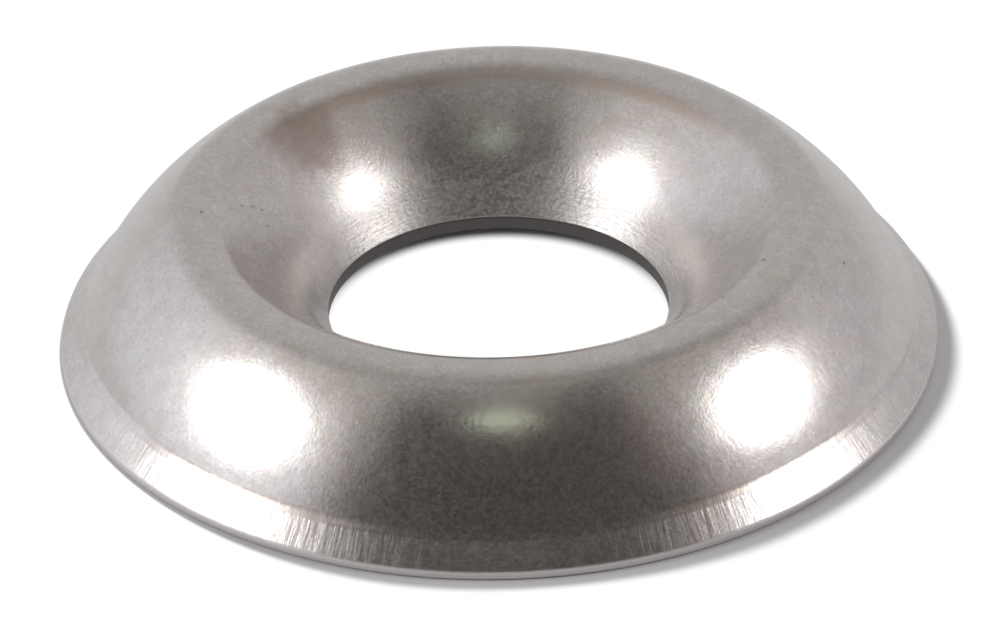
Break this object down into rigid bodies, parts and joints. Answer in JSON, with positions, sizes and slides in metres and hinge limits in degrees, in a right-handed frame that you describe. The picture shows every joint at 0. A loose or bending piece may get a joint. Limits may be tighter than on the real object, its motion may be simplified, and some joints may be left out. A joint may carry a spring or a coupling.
{
  "type": "finishing cup washer",
  "caption": "Drawn sheet-metal finishing cup washer: rounded ring, countersunk cup and plain hole that seat a countersunk screw on a soft surface.",
  "frame": {"origin": "on the washer's axis, in the plane that its rim stands on", "axes": "+Z along the axis, out of the cup, towards the screw head; the part is round about Z, so X and Y are free"},
  "size_m": [0.0175, 0.0174, 0.003],
  "materials": {
    "sheet_metal": "satin nickel-plated sheet, tumbled, with a burnished band at the rim"
  },
  "bodies": {
    "root": {"cup_washer": "sheet_metal"}
  },
  "joints": []
}
